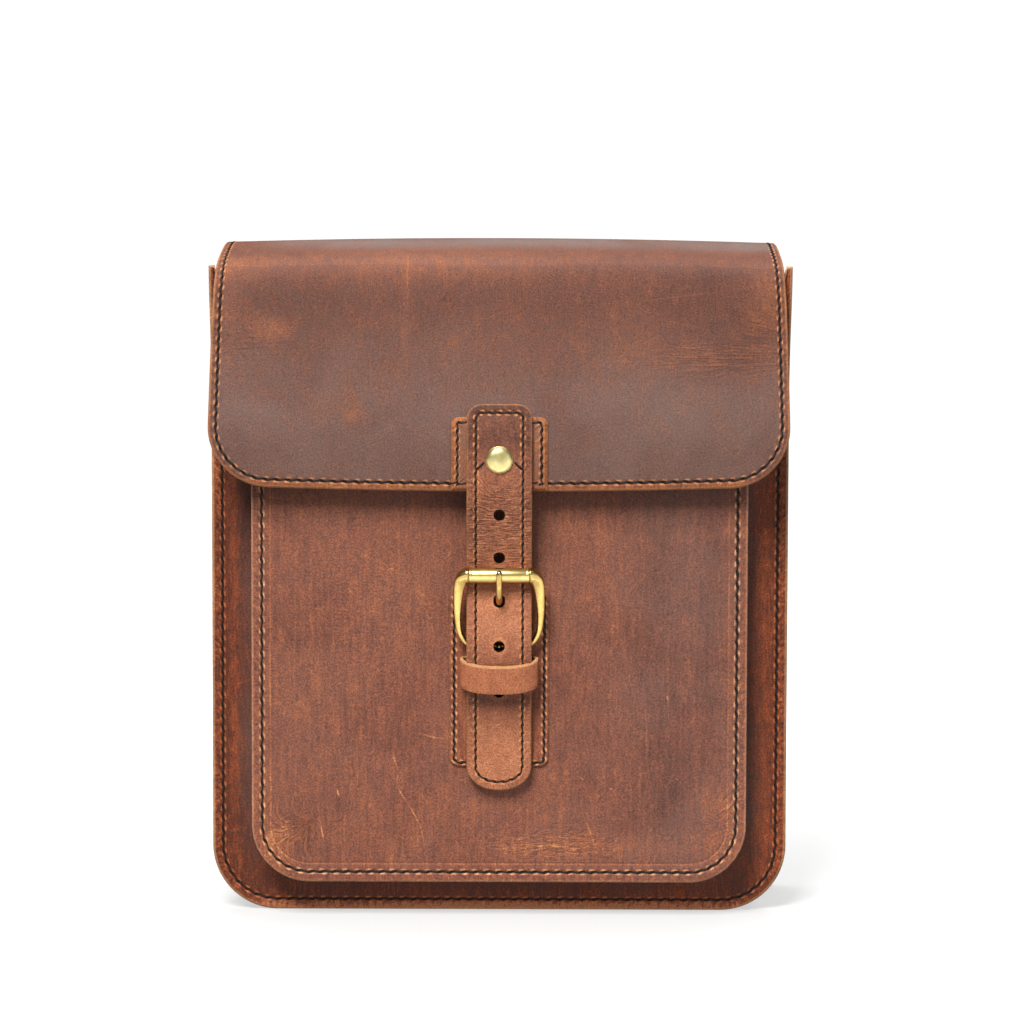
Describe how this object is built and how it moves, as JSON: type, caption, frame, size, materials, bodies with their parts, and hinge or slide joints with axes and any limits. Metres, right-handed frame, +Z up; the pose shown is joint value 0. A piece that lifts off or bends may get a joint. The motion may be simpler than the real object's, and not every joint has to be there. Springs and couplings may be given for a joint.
{
  "type": "satchel",
  "caption": "Small upright leather satchel with a gusseted body, a gusseted front pocket and a flap closed by a strap and a roller buckle.",
  "frame": {"origin": "on the surface the bag stands on, under the middle of its width and depth", "axes": "+Z up, +X along the width to the viewer's right, the front with the pocket faces -Y"},
  "size_m": [0.23, 0.0998, 0.2673],
  "materials": {
    "body_leather": "waxed pull-up leather, dark brown",
    "pocket_leather": "waxed pull-up leather, red-brown",
    "flap_leather": "waxed pull-up leather, brown with a dull bloom",
    "strap_leather": "waxed pull-up leather, light brown",
    "keeper_leather": "waxed pull-up leather, tan",
    "polished_brass": "polished",
    "antique_brass": "satin antique"
  },
  "bodies": {
    "root": {"front_panel": "body_leather", "back_panel": "body_leather", "gusset": "body_leather", "pocket_front": "pocket_leather", "pocket_gusset": "pocket_leather", "buckle_base": "pocket_leather", "flap": "flap_leather", "flap_patch": "flap_leather", "closure_strap": "strap_leather", "buckle_chape": "strap_leather", "keeper_loop": "keeper_leather", "rivet": "antique_brass", "buckle_frame": "polished_brass", "buckle_roller": "polished_brass", "buckle_prong": "polished_brass"}
  },
  "joints": []
}
